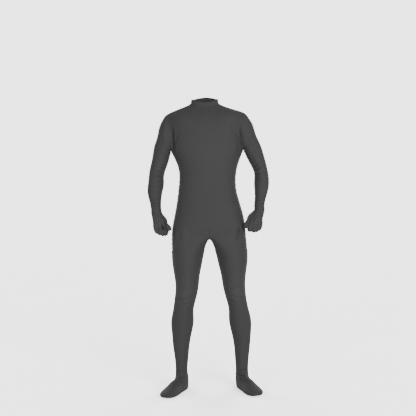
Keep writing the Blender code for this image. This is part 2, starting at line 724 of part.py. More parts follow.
def main():
    for old in list(bpy.data.objects):
        bpy.data.objects.remove(old)
    hold = bpy.data.objects.new("hold", None)
    hold.location = (0.0, 0.0, -HOLD_HEIGHT)
    bpy.context.scene.collection.objects.link(hold)

    body = smoothed(body_form())
    zip_line = zip_points(body)
    points = np.array(body.points)
    points = folded(points, point_normals(points, body.faces))
    normals = point_normals(points, body.faces)
    aside = ZIP_HALF_WIDTH + SEAM_GAP / 2
    parting = {"back_left": {k: aside for k in zip_line}, "back_right": {k: -aside for k in zip_line}}
    made = []
    for name in sorted(set(body.pieces)):
        faces = [face for face, piece in zip(body.faces, body.pieces) if piece == name]
        if name == "collar":
            faces, ring_points, ring_normals, copies = opened(faces, points, normals, zip_line)
            extra = {k: aside for k in zip_line} | {copies[k]: -aside for k in zip_line}
            knots = body.knots | {copies[k] for k in zip_line if k in body.knots}
            piece = cloth_piece(name, ring_points, ring_normals, faces, knots, extra)
        else:
            piece = cloth_piece(name, points, normals, faces, body.knots, parting.get(name, {}))
        finish(piece, CLOTH_COLOURS["collar" if name == "collar" else "body"], 0.85, 0.0)
        made.append(piece)
    for side in SIDES:
        hand = hand_form(side)
        hand_points = np.array(hand.points)
        hand_normals = point_normals(hand_points, hand.faces)
        for name in sorted(set(hand.pieces)):
            faces = [face for face, piece in zip(hand.faces, hand.pieces) if piece == name]
            piece = cloth_piece(name, hand_points, hand_normals, faces, hand.knots, {})
            finish(piece, CLOTH_COLOURS["hand"], 0.85, 0.0)
            made.append(piece)
    made += zip_pieces(points, normals, zip_line)
    for piece in made:
        piece.parent = hold


if __name__ == "__main__":
    main()
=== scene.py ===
"""Looks of the full-length dance unitard: stretch jersey, creases, seams, the back zip and the studio.

The cloth pieces are fine copies of the frame's cloth walls. They are sewn into nets, one for the body and one
for each glove, smoothed, creased from the tables below, and parted again along the seams. Metres; the front
faces -Y, and +X is the garment's left.
"""

import math
from collections import namedtuple

import bmesh
import bpy
import numpy as np
from mathutils import Matrix, Vector
from mathutils.bvhtree import BVHTree


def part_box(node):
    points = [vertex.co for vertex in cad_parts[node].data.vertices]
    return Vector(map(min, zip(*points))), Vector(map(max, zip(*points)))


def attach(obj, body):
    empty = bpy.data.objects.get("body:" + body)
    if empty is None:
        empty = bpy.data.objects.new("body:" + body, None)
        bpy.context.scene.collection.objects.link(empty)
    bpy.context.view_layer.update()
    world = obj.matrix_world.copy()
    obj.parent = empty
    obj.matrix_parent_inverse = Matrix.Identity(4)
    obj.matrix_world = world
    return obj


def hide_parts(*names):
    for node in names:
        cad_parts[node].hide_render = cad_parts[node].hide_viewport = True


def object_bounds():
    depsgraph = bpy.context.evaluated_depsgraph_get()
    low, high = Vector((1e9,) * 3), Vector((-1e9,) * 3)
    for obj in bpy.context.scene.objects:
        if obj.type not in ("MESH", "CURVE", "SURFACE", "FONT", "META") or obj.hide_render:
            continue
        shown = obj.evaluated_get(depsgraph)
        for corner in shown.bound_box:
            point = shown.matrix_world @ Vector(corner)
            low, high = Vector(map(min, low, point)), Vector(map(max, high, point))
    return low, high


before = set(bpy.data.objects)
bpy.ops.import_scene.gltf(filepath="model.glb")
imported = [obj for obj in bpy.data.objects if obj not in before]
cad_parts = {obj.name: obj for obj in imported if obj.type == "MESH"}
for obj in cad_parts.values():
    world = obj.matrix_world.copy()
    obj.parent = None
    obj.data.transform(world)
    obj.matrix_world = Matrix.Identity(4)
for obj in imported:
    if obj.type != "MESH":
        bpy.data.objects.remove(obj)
cad_box = [list(corner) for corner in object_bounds()]

bl_info = {
    "name": "Dance unitard looks",
    "version": (1, 0, 0),
    "blender": (4, 5, 0),
    "location": "3D View > Sidebar > Unitard",
    "description": "Builds the cloth, seams, zip and studio of a dance unitard",
    "category": "Object",
}

CAD_WALL = 0.0015
WALL_MATCH = 0.000003
MERGE = 0.00001
SEW = 0.0008
FIT_PASSES = 3
BODY_PIECES = [
    "front", "back_left", "back_right", "sleeve_left", "sleeve_right", "collar",
    "foot_left", "foot_right", "sole_left", "sole_right",
]
PANELS = {"front", "back_left", "back_right"}
SIDES = {"left": 1, "right": -1}
DIAGONAL_ANGLE = math.radians(80)
SEAM_PULL = 0.00015

# How far a crease reaches, in its half lengths and half widths, and the shape of its ends and shoulders
REACH_ALONG = 2.2
REACH_ACROSS = 3
END_FADE = 0.8
SHOULDER_HEIGHT = 0.30
SHOULDER_ASIDE = 1.9

# How much cloth has to face the crease's own way to be creased, and how much the cloth at its middle has to
# face sideways for its level direction to be used instead of the X axis
SAME_SIDE = 0.1
LEVEL_LEAST = 0.2

# The depth from which a crease's painted shade is at its darkest
CREASE_SHADE_FULL_DEPTH = 0.004

# Creases: a point near the middle, the turn from level as seen from outside, half length, half width, depth
# and how far the ends bend upwards
Crease = namedtuple("Crease", "x y z turn length width depth bend")
BODY_CREASES = [
    # armpits in front, from the arm down to the side
    Crease(-0.183, -0.08, -0.150, 86, 0.055, 0.0075, 0.0048, 0.004),
    Crease(-0.172, -0.08, -0.185, 70, 0.030, 0.0060, 0.0022, -0.003),
    Crease(-0.160, -0.09, -0.150, 52, 0.038, 0.0090, 0.0014, 0.006),
    Crease(0.190, -0.08, -0.160, 100, 0.050, 0.0075, 0.0048, -0.004),
    Crease(0.178, -0.08, -0.192, 116, 0.026, 0.0060, 0.0020, 0.003),
    Crease(0.164, -0.09, -0.140, 132, 0.040, 0.0090, 0.0013, 0.005),
    # armpits behind
    Crease(-0.184, 0.09, -0.150, 94, 0.052, 0.0080, 0.0042, 0.004),
    Crease(-0.166, 0.09, -0.178, 118, 0.034, 0.0070, 0.0020, 0.004),
    Crease(-0.150, 0.10, -0.130, 138, 0.042, 0.0095, 0.0013, 0.005),
    Crease(0.188, 0.09, -0.155, 86, 0.050, 0.0080, 0.0042, -0.004),
    Crease(0.170, 0.09, -0.186, 64, 0.030, 0.0070, 0.0021, -0.004),
    Crease(0.152, 0.10, -0.120, 44, 0.045, 0.0100, 0.0012, 0.005),
    # waist sides, short and level
    Crease(-0.131, -0.02, -0.356, 6, 0.026, 0.0050, 0.0010, 0.003),
    Crease(-0.129, -0.01, -0.380, -4, 0.034, 0.0060, 0.0013, 0.002),
    Crease(-0.128, -0.02, -0.401, 8, 0.024, 0.0050, 0.0009, 0.003),
    Crease(-0.130, 0.00, -0.428, -6, 0.036, 0.0065, 0.0012, -0.002),
    Crease(-0.134, -0.02, -0.462, 10, 0.026, 0.0055, 0.0008, 0.002),
    Crease(0.136, -0.02, -0.348, -8, 0.028, 0.0055, 0.0011, 0.003),
    Crease(0.134, -0.01, -0.374, 5, 0.036, 0.0060, 0.0014, 0.002),
    Crease(0.133, 0.00, -0.404, -7, 0.026, 0.0050, 0.0010, -0.002),
    Crease(0.135, -0.02, -0.436, 4, 0.032, 0.0065, 0.0010, 0.003),
    # small of the back, across the zip's lower end
    Crease(-0.045, 0.08, -0.392, 4, 0.050, 0.0085, 0.0012, 0.004),
    Crease(0.060, 0.08, -0.408, -6, 0.046, 0.0080, 0.0011, 0.003),
    Crease(-0.070, 0.08, -0.425, -8, 0.038, 0.0075, 0.0010, 0.004),
    Crease(0.030, 0.08, -0.446, 3, 0.055, 0.0090, 0.0012, 0.003),
    # groin and crotch
    Crease(-0.080, -0.09, -0.624, -40, 0.040, 0.0150, 0.0005, 0.008),
    Crease(0.090, -0.09, -0.630, 42, 0.036, 0.0150, 0.0005, 0.008),
    Crease(0.004, -0.08, -0.625, 90, 0.026, 0.0045, 0.0014, 0.000),
    Crease(-0.016, -0.07, -0.660, -34, 0.020, 0.0045, 0.0014, 0.002),
    Crease(0.022, -0.07, -0.662, 36, 0.019, 0.0045, 0.0013, 0.002),
    Crease(-0.026, -0.07, -0.643, -18, 0.018, 0.0040, 0.0009, 0.001),
    Crease(0.032, -0.07, -0.645, 21, 0.020, 0.0045, 0.0010, 0.002),
    # under the seat
    Crease(-0.080, 0.09, -0.668, 8, 0.048, 0.0100, 0.0022, 0.010),
    Crease(0.088, 0.09, -0.666, -8, 0.048, 0.0100, 0.0022, 0.010),
    Crease(-0.050, 0.09, -0.694, 24, 0.026, 0.0070, 0.0011, 0.003),
    Crease(0.056, 0.09, -0.692, -22, 0.028, 0.0070, 0.0011, 0.003),
    # thighs beside the gloves, on their outer side and then in front
    Crease(-0.192, 0.00, -0.655, 8, 0.018, 0.0040, 0.0010, 0.000),
    Crease(-0.192, -0.01, -0.676, -6, 0.024, 0.0045, 0.0013, 0.002),
    Crease(-0.191, 0.00, -0.699, 5, 0.020, 0.0040, 0.0010, 0.000),
    Crease(-0.190, -0.01, -0.718, -9, 0.022, 0.0045, 0.0012, 0.001),
    Crease(-0.188, 0.00, -0.742, 4, 0.018, 0.0045, 0.0009, 0.001),
    Crease(0.194, -0.01, -0.616, -7, 0.022, 0.0045, 0.0013, 0.001),
    Crease(0.195, 0.00, -0.634, 6, 0.019, 0.0040, 0.0010, 0.000),
    Crease(0.195, -0.01, -0.657, -4, 0.023, 0.0045, 0.0012, 0.002),
    Crease(0.194, 0.00, -0.683, 8, 0.020, 0.0045, 0.0010, 0.001),
    Crease(-0.146, -0.09, -0.640, 95, 0.032, 0.0140, 0.0015, 0.002),
    Crease(-0.180, -0.07, -0.630, 128, 0.012, 0.0038, 0.0017, 0.001),
    Crease(-0.178, -0.07, -0.648, 120, 0.014, 0.0040, 0.0017, 0.001),
    Crease(-0.181, -0.06, -0.668, 132, 0.012, 0.0038, 0.0013, 0.001),
    Crease(0.150, -0.09, -0.638, 80, 0.032, 0.0130, 0.0022, 0.002),
    Crease(0.170, -0.09, -0.612, 62, 0.014, 0.0042, 0.0018, 0.001),
    Crease(0.163, -0.09, -0.630, 70, 0.018, 0.0046, 0.0020, 0.001),
    Crease(0.178, -0.08, -0.634, 58, 0.014, 0.0042, 0.0016, 0.001),
    Crease(0.170, -0.08, -0.652, 75, 0.016, 0.0046, 0.0014, 0.001),
    # knees in front
    Crease(-0.130, -0.05, -0.905, -10, 0.034, 0.0085, 0.0011, -0.006),
    Crease(-0.134, -0.05, -0.965, 8, 0.036, 0.0080, 0.0014, 0.006),
    Crease(-0.120, -0.05, -0.985, 22, 0.024, 0.0070, 0.0009, 0.003),
    Crease(0.134, -0.05, -0.908, 9, 0.034, 0.0085, 0.0011, -0.006),
    Crease(0.138, -0.05, -0.962, -8, 0.038, 0.0080, 0.0014, 0.006),
    Crease(0.126, -0.05, -0.986, -20, 0.025, 0.0070, 0.0009, 0.003),
    # behind the knees
    Crease(-0.132, 0.06, -0.912, 5, 0.036, 0.0070, 0.0022, 0.003),
    Crease(-0.130, 0.06, -0.934, -7, 0.030, 0.0060, 0.0020, -0.002),
    Crease(-0.134, 0.06, -0.955, 9, 0.034, 0.0065, 0.0017, -0.003),
    Crease(-0.136, 0.06, -0.981, -3, 0.026, 0.0060, 0.0011, 0.002),
    Crease(0.134, 0.06, -0.908, -6, 0.035, 0.0070, 0.0021, 0.003),
    Crease(0.136, 0.06, -0.932, 6, 0.031, 0.0060, 0.0021, 0.002),
    Crease(0.133, 0.06, -0.957, -8, 0.033, 0.0065, 0.0016, -0.003),
    Crease(0.138, 0.06, -0.979, 4, 0.024, 0.0060, 0.0010, 0.002),
    # ankles in front, then behind, above the heels
    Crease(0.154, -0.02, -1.350, 4, 0.026, 0.0048, 0.0011, 0.003),
    Crease(0.155, -0.03, -1.371, -5, 0.032, 0.0055, 0.0021, 0.004),
    Crease(0.158, -0.04, -1.388, 9, 0.026, 0.0048, 0.0014, 0.003),
    Crease(0.162, -0.05, -1.404, -3, 0.022, 0.0048, 0.0009, 0.002),
    Crease(-0.158, -0.02, -1.352, -6, 0.025, 0.0050, 0.0012, 0.003),
    Crease(-0.160, -0.03, -1.374, 5, 0.030, 0.0055, 0.0018, 0.004),
    Crease(-0.164, -0.04, -1.392, -8, 0.025, 0.0048, 0.0012, 0.003),
    Crease(-0.155, 0.05, -1.345, 6, 0.022, 0.0048, 0.0013, -0.002),
    Crease(-0.157, 0.05, -1.366, -4, 0.024, 0.0050, 0.0015, -0.003),
    Crease(-0.158, 0.05, -1.386, 8, 0.020, 0.0045, 0.0011, -0.002),
    Crease(0.151, 0.05, -1.349, -7, 0.022, 0.0048, 0.0013, -0.002),
    Crease(0.150, 0.05, -1.368, 5, 0.025, 0.0050, 0.0016, -0.003),
    Crease(0.150, 0.05, -1.390, -4, 0.020, 0.0045, 0.0010, -0.002),
    # insteps and toes
    Crease(-0.196, -0.07, -1.408, -28, 0.018, 0.0042, 0.0010, 0.002),
    Crease(-0.214, -0.09, -1.416, -24, 0.017, 0.0040, 0.0012, 0.002),
    Crease(-0.226, -0.10, -1.420, -34, 0.014, 0.0036, 0.0009, 0.001),
    Crease(0.190, -0.07, -1.408, 26, 0.018, 0.0042, 0.0010, 0.002),
    Crease(0.206, -0.09, -1.416, 30, 0.017, 0.0040, 0.0012, 0.002),
    Crease(0.218, -0.10, -1.420, 24, 0.014, 0.0036, 0.0009, 0.001),
    # inside of the elbows, then their outer side
    Crease(0.240, -0.03, -0.300, 24, 0.026, 0.0060, 0.0018, 0.003),
    Crease(0.241, -0.03, -0.319, 18, 0.032, 0.0055, 0.0034, 0.003),
    Crease(0.244, -0.03, -0.338, 6, 0.026, 0.0055, 0.0018, -0.002),
    Crease(0.248, -0.03, -0.360, -8, 0.024, 0.0055, 0.0012, -0.002),
    Crease(0.236, -0.02, -0.278, 34, 0.024, 0.0060, 0.0011, 0.002),
    Crease(-0.236, -0.03, -0.318, -22, 0.026, 0.0060, 0.0016, 0.003),
    Crease(-0.240, -0.03, -0.340, -12, 0.030, 0.0055, 0.0026, 0.003),
    Crease(-0.245, -0.03, -0.362, 4, 0.026, 0.0055, 0.0016, -0.002),
    Crease(-0.250, -0.03, -0.386, 10, 0.022, 0.0055, 0.0011, -0.002),
    Crease(-0.228, -0.02, -0.296, -32, 0.024, 0.0060, 0.0010, 0.002),
    Crease(-0.290, 0.03, -0.330, 12, 0.026, 0.0065, 0.0012, 0.003),
    Crease(-0.292, 0.03, -0.352, -4, 0.028, 0.0060, 0.0014, 0.002),
    Crease(0.300, 0.03, -0.310, -12, 0.026, 0.0065, 0.0012, 0.003),
    Crease(0.302, 0.03, -0.334, 5, 0.028, 0.0060, 0.0014, 0.002),
    # upper arms, long and faint
    Crease(-0.232, -0.04, -0.190, 62, 0.050, 0.0110, 0.0010, 0.005),
    Crease(0.236, -0.04, -0.190, 118, 0.050, 0.0110, 0.0010, 0.005),
    Crease(-0.216, 0.05, -0.170, 118, 0.046, 0.0110, 0.0010, 0.005),
    Crease(0.222, 0.05, -0.170, 62, 0.046, 0.0110, 0.0010, 0.005),
    # wrists
    Crease(-0.274, -0.05, -0.455, 6, 0.024, 0.0048, 0.0012, 0.003),
    Crease(-0.272, -0.05, -0.473, -7, 0.028, 0.0045, 0.0016, 0.002),
    Crease(-0.270, -0.05, -0.489, 4, 0.022, 0.0042, 0.0012, 0.002),
    Crease(-0.276, 0.02, -0.462, -5, 0.024, 0.0048, 0.0012, -0.002),
    Crease(-0.274, 0.02, -0.482, 6, 0.026, 0.0045, 0.0014, -0.002),
    Crease(0.274, -0.05, -0.450, -5, 0.025, 0.0048, 0.0012, 0.003),
    Crease(0.272, -0.05, -0.469, 6, 0.027, 0.0045, 0.0016, 0.002),
    Crease(0.270, -0.05, -0.487, -8, 0.022, 0.0042, 0.0012, 0.002),
    Crease(0.276, 0.02, -0.458, 7, 0.024, 0.0048, 0.0012, -0.002),
    Crease(0.274, 0.02, -0.478, -4, 0.026, 0.0045, 0.0014, -0.002),
]

GLOVE_CREASES = [
    # the hollow beside the glove's thumb, in front
    Crease(-0.2300, -0.064, -0.6040, 108, 0.0130, 0.0056, 0.0120, 0.001),
    Crease(-0.2350, -0.064, -0.5820, 104, 0.0100, 0.0046, 0.0026, 0.001),
    Crease(0.2190, -0.085, -0.5930, 68, 0.0160, 0.0050, 0.0110, 0.001),
    Crease(0.2270, -0.085, -0.5700, 74, 0.0110, 0.0044, 0.0026, 0.001),
    # furrows between the fingers along the closed glove's bottom, in front
    Crease(-0.2360, -0.09, -0.6240, 96, 0.0120, 0.0034, 0.0020, 0.000),
    Crease(-0.2510, -0.09, -0.6270, 88, 0.0130, 0.0034, 0.0024, 0.000),
    Crease(-0.2660, -0.09, -0.6220, 80, 0.0120, 0.0034, 0.0020, 0.000),
    Crease(0.2250, -0.10, -0.6200, 84, 0.0120, 0.0034, 0.0020, 0.000),
    Crease(0.2400, -0.10, -0.6230, 92, 0.0130, 0.0034, 0.0024, 0.000),
    Crease(0.2550, -0.10, -0.6180, 98, 0.0120, 0.0034, 0.0020, 0.000),
    # folds across the glove's fingers, level
    Crease(-0.2450, -0.09, -0.6080, 5, 0.0260, 0.0036, 0.0013, -0.002),
    Crease(-0.2530, -0.09, -0.5900, -8, 0.0180, 0.0034, 0.0008, -0.002),
    Crease(0.2420, -0.10, -0.6030, -6, 0.0260, 0.0036, 0.0013, -0.002),
    Crease(0.2500, -0.10, -0.5850, 8, 0.0180, 0.0034, 0.0008, -0.002),
    # wrinkles on the glove's front, above its fingers and below its cuff
    Crease(-0.2640, -0.09, -0.5640, 62, 0.0160, 0.0034, 0.0009, 0.001),
    Crease(-0.2500, -0.09, -0.5560, 74, 0.0140, 0.0034, 0.0008, 0.001),
    Crease(-0.2360, -0.09, -0.5600, 118, 0.0120, 0.0032, 0.0009, 0.001),
    Crease(-0.2620, -0.09, -0.5240, 8, 0.0220, 0.0040, 0.0011, 0.002),
    Crease(-0.2580, -0.09, -0.5380, -10, 0.0180, 0.0038, 0.0009, 0.002),
    Crease(0.2600, -0.10, -0.5600, 112, 0.0160, 0.0034, 0.0009, 0.001),
    Crease(0.2480, -0.10, -0.5520, 98, 0.0140, 0.0034, 0.0008, 0.001),
    Crease(0.2350, -0.10, -0.5540, 60, 0.0120, 0.0032, 0.0009, 0.001),
    Crease(0.2600, -0.10, -0.5200, -7, 0.0220, 0.0040, 0.0011, 0.002),
    Crease(0.2560, -0.10, -0.5360, 9, 0.0180, 0.0038, 0.0009, 0.002),
    # outer side of the glove, then furrows between its fingers behind
    Crease(-0.3100, -0.02, -0.6040, 10, 0.0200, 0.0040, 0.0012, 0.001),
    Crease(-0.3100, 0.00, -0.5880, -8, 0.0160, 0.0036, 0.0009, 0.001),
    Crease(-0.3000, -0.02, -0.5440, 14, 0.0180, 0.0038, 0.0010, 0.001),
    Crease(0.3100, -0.02, -0.6000, -10, 0.0200, 0.0040, 0.0012, 0.001),
    Crease(0.3100, -0.01, -0.5840, 8, 0.0160, 0.0036, 0.0009, 0.001),
    Crease(0.3000, -0.02, -0.5400, -12, 0.0180, 0.0038, 0.0010, 0.001),
    Crease(-0.2400, 0.05, -0.6100, 88, 0.0200, 0.0036, 0.0018, 0.000),
    Crease(-0.2550, 0.05, -0.6120, 92, 0.0200, 0.0036, 0.0020, 0.000),
    Crease(-0.2690, 0.05, -0.6080, 95, 0.0180, 0.0036, 0.0017, 0.000),
    Crease(0.2310, 0.05, -0.6060, 92, 0.0200, 0.0036, 0.0018, 0.000),
    Crease(0.2460, 0.05, -0.6080, 88, 0.0200, 0.0036, 0.0020, 0.000),
    Crease(0.2600, 0.05, -0.6040, 85, 0.0180, 0.0036, 0.0017, 0.000),
]

# Soft moves of a glove piece's cloth: their middle as seen from the front, their reach and the way they go
Push = namedtuple("Push", "node x z reach across up")
PUSHES = [
    Push("thumb_right", -0.2070, -0.5790, 0.0120, -0.0110, 0.000),
    Push("thumb_right", -0.2080, -0.5950, 0.0120, -0.0050, 0.000),
    Push("glove_right", -0.2120, -0.6140, 0.0160, 0.0060, 0.000),
    Push("glove_right", -0.2320, -0.6410, 0.0160, 0.0000, -0.0045),
    Push("thumb_left", 0.2020, -0.5770, 0.0120, 0.0110, 0.000),
    Push("thumb_left", 0.2030, -0.5930, 0.0120, 0.0050, 0.000),
    Push("glove_left", 0.2113, -0.6190, 0.0160, -0.0065, 0.000),
    Push("glove_left", 0.2130, -0.6390, 0.0110, 0.0020, 0.0050),
]

# How far a glove's upper edge goes up inside the sleeve, and its width there as a share
CUFF_TUCK = 0.006
CUFF_TAPER = 0.93

# How a glove's curled fingers close towards its palm: the height where the move starts, the depth behind
# which the cloth moves, and how far. The move grows over the height, sets in over the blend, ends at the top.
Curl = namedtuple("Curl", "node fold_z palm_y forward")
CURLS = [Curl("glove_right", -0.613, -0.014, 0.0165), Curl("glove_left", -0.610, -0.028, 0.0165)]
CURL_HEIGHT = 0.032
CURL_BLEND = 0.006
CURL_TOP = -0.555

# Where the cloth is stretched and rubbed, so that it looks a little lighter
Rub = namedtuple("Rub", "x y z radius amount")
RUBS = [
    Rub(-0.132, -0.06, -0.935, 0.060, 0.8), Rub(0.136, -0.06, -0.935, 0.060, 0.8),
    Rub(-0.290, 0.03, -0.335, 0.045, 0.9), Rub(0.300, 0.03, -0.318, 0.045, 0.9),
    Rub(-0.070, 0.12, -0.560, 0.085, 0.7), Rub(0.076, 0.12, -0.560, 0.085, 0.7),
    Rub(-0.185, 0.01, -0.030, 0.060, 0.6), Rub(0.190, 0.01, -0.030, 0.060, 0.6),
    Rub(-0.158, 0.06, -1.430, 0.040, 0.9), Rub(0.150, 0.06, -1.430, 0.040, 0.9),
    Rub(-0.222, -0.10, -1.430, 0.045, 0.9), Rub(0.214, -0.10, -1.430, 0.045, 0.9),
    Rub(-0.248, -0.05, -0.610, 0.035, 0.9), Rub(0.241, -0.06, -0.607, 0.035, 0.9),
]


class UnitardSettings(bpy.types.PropertyGroup):
    jersey_colour: bpy.props.FloatVectorProperty(
        name="Jersey colour", description="Colour of the charcoal stretch jersey", subtype="COLOR", size=3,
        min=0, max=1, default=(0.041, 0.0400, 0.0405))
    thread_colour: bpy.props.FloatVectorProperty(
        name="Thread colour", description="Colour of the seam thread", subtype="COLOR", size=3,
        min=0, max=1, default=(0.052, 0.051, 0.052))
    metal_colour: bpy.props.FloatVectorProperty(
        name="Metal colour", description="Colour of the painted slider and tab", subtype="COLOR", size=3,
        min=0, max=1, default=(0.055, 0.055, 0.058))
    coil_colour: bpy.props.FloatVectorProperty(
        name="Coil colour", description="Colour of the zip's nylon coil", subtype="COLOR", size=3,
        min=0, max=1, default=(0.030, 0.030, 0.032))
    floor_colour: bpy.props.FloatVectorProperty(
        name="Floor colour", description="Colour of the studio floor", subtype="COLOR", size=3,
        min=0, max=1, default=(0.90, 0.90, 0.90))
    jersey_roughness: bpy.props.FloatProperty(
        name="Jersey roughness", description="Roughness of the jersey", subtype="FACTOR",
        min=0, max=1, default=0.80)
    knit: bpy.props.FloatProperty(
        name="Knit spacing", description="Distance between two ribs of the knit", unit="LENGTH",
        min=0.0004, max=0.005, default=0.0011, precision=4)
    thickness: bpy.props.FloatProperty(
        name="Cloth thickness", description="Thickness of the jersey", unit="LENGTH",
        min=0.0003, max=0.002, default=0.0009, precision=4)
    crease_depth: bpy.props.FloatProperty(
        name="Crease depth", description="Share of the creases' depth that is used", subtype="FACTOR",
        min=0, max=2, default=1.0)
    detail: bpy.props.IntProperty(
        name="Cloth detail", description="Times that the cloth's net is divided", min=1, max=3, default=3)
    seam_roll: bpy.props.FloatProperty(
        name="Seam roll", description="Width of the cloth that rolls into a seam", unit="LENGTH",
        min=0.0002, max=0.003, default=0.0011, precision=4)
    seam_dip: bpy.props.FloatProperty(
        name="Seam dip", description="How deep the cloth dips into a seam", unit="LENGTH",
        min=0.0, max=0.002, default=0.0005, precision=4)
    camera_distance: bpy.props.FloatProperty(
        name="Camera distance", description="Distance from the camera to the garment's middle", unit="LENGTH",
        min=1, max=20, default=3.6)
    camera_height: bpy.props.FloatProperty(
        name="Camera height", description="Height of the camera, with the shoulders at 0", unit="LENGTH",
        min=-3, max=3, default=-0.505)
    camera_roll: bpy.props.FloatProperty(
        name="Camera roll", description="Turn of the camera about its own view", unit="ROTATION",
        min=-0.5, max=0.5, default=math.radians(1.5))
    lens: bpy.props.FloatProperty(
        name="Lens", description="Focal length on a 36 mm sensor", unit="CAMERA",
        min=10, max=300, default=59.9)


class Wire:
    """One output of a node; arithmetic on it adds Math nodes to its tree."""

    def __init__(self, tree, socket):
        self.tree = tree
        self.socket = socket

    def math(self, operation, *values):
        node = self.tree.nodes.new("ShaderNodeMath")
        node.operation = operation
        for place, value in zip(node.inputs, values):
            feed(self.tree, place, value)
        return Wire(self.tree, node.outputs[0])

    def __add__(self, other):
        return self.math("ADD", self, other)

    def __sub__(self, other):
        return self.math("SUBTRACT", self, other)

    def __mul__(self, other):
        return self.math("MULTIPLY", self, other)

    def __truediv__(self, other):
        return self.math("DIVIDE", self, other)

    def __abs__(self):
        return self.math("ABSOLUTE", self)

    __radd__ = __add__
    __rmul__ = __mul__

    def part(self):
        return self.math("FRACT", self)

    def wave(self):
        return self.math("SINE", self)


def feed(tree, place, value):
    if isinstance(value, Wire):
        tree.links.new(value.socket, place)
    else:
        place.default_value = value


class Finish:
    """A material and its nodes around one Principled BSDF."""

    def __init__(self, name):
        self.material = bpy.data.materials.new(name)
        self.material.use_nodes = True
        self.tree = self.material.node_tree
        self.surface = self.tree.nodes["Principled BSDF"]

    def node(self, kind, settings=None, inputs=None, output=0):
        """Add a node: its settings first, with a ramp's stops as (place, grey), then its inputs."""
        node = self.tree.nodes.new(kind)
        for name, value in (settings or {}).items():
            if name == "stops":
                for element, (place, grey) in zip(node.color_ramp.elements, value):
                    element.position = place
                    element.color = (grey, grey, grey, 1)
            else:
                setattr(node, name, value)
        for name, value in (inputs or {}).items():
            feed(self.tree, node.inputs[name], value)
        return Wire(self.tree, node.outputs[output])

    def place(self):
        return self.node("ShaderNodeTexCoord", output="Object")

    def axes(self, vector):
        return [self.node("ShaderNodeSeparateXYZ", inputs={0: vector}, output=n) for n in range(3)]

    def noise(self, vector, scale, detail=2.0, roughness=0.5):
        return self.node("ShaderNodeTexNoise", inputs={
            "Vector": vector, "Scale": scale, "Detail": detail, "Roughness": roughness})

    def mixed(self, share, one, two):
        return self.node("ShaderNodeMix", {"data_type": "RGBA"}, {0: share, 6: one, 7: two}, output=2)

    def bump(self, height, distance, strength):
        return self.node("ShaderNodeBump", inputs={
            "Height": height, "Distance": distance, "Strength": strength})

    def set(self, **values):
        for name, value in values.items():
            feed(self.tree, self.surface.inputs[name.replace("_", " ")], value)
        return self.material


def tint(colour, factor=1.0):
    return tuple(min(part * factor, 1.0) for part in colour) + (1.0,)


def jersey(name, settings):
    """Matte knit: fine ribs and loops that follow the cloth, uneven dye, lighter where it is rubbed, and
    painted shade darkening the crease troughs.
    """
    finish = Finish(name)
    place = finish.place()
    x, y, z = finish.axes(place)
    facing = finish.axes(finish.node("ShaderNodeTexCoord", output="Normal"))
    side = finish.node("ShaderNodeMapRange", {"interpolation_type": "SMOOTHSTEP"}, {
        "Value": abs(facing[0]) - abs(facing[1]), "From Min": -0.15, "From Max": 0.15})
    across = (x + (y - x) * side) / settings.knit
    rib = across.part()
    lean = abs(rib - 0.5) * 2
    loops = (((z / (settings.knit * 0.8)) + lean * 0.6).part() * math.pi).wave()
    ribs = (rib * math.pi).wave()
    fuzz = finish.noise(place, scale=900.0, detail=3.0, roughness=0.6)
    cloudy = finish.noise(place, scale=7.0, detail=3.0, roughness=0.55)
    slubs = finish.noise(place, scale=60.0)
    height = ribs * 0.45 + loops * 0.35 + fuzz * 0.35
    rubbed = finish.node("ShaderNodeAttribute", {"attribute_name": "rubbed"}, output="Fac")
    # The painted shade of the crease troughs, as noted when the creases were pressed
    painted_crease_shade = finish.node("ShaderNodeAttribute", {"attribute_name": "painted_crease_shade"}, output="Fac")
    base = finish.mixed(cloudy, tint(settings.jersey_colour, 0.93), tint(settings.jersey_colour, 1.07))
    knit = finish.mixed((ribs * 0.5 + loops * 0.5) * 0.35, base, tint(settings.jersey_colour, 0.78))
    worn = finish.mixed(rubbed * (0.35 + slubs * 0.3), knit, tint(settings.jersey_colour, 1.30))
    # Painted shade: the jersey's colour is darkened in the crease troughs
    colour = finish.mixed(painted_crease_shade * 0.7, worn, tint(settings.jersey_colour, 0.40))
    return finish.set(
        Base_Color=colour,
        Roughness=settings.jersey_roughness - 0.06 + fuzz * 0.10 - rubbed * 0.05,
        Normal=finish.bump(height, distance=settings.knit * 0.10, strength=0.6),
        Specular_IOR_Level=0.30,
        Sheen_Weight=0.05,
        Sheen_Roughness=0.5,
        Sheen_Tint=(0.75, 0.75, 0.78, 1.0),
    )


def link(name, mesh):
    piece = bpy.data.objects.new(name, mesh)
    bpy.context.scene.collection.objects.link(piece)
    return piece


def islands(mesh):
    """The separate shells of a mesh, each a list of faces."""
    left = set(mesh.faces)
    found = []
    while left:
        shell = [left.pop()]
        for face in shell:
            for edge in face.edges:
                for near in edge.link_faces:
                    if near in left:
                        left.remove(near)
                        shell.append(near)
        found.append(shell)
    return found


def faces_inwards(shell):
    """Whether a shell's faces point towards its own middle, as the inner side of a wall does."""
    area = sum(face.calc_area() for face in shell)
    middle = sum((face.calc_center_median() * face.calc_area() for face in shell), Vector()) / area
    return sum((face.calc_center_median() - middle).dot(face.normal) * face.calc_area() for face in shell) < 0


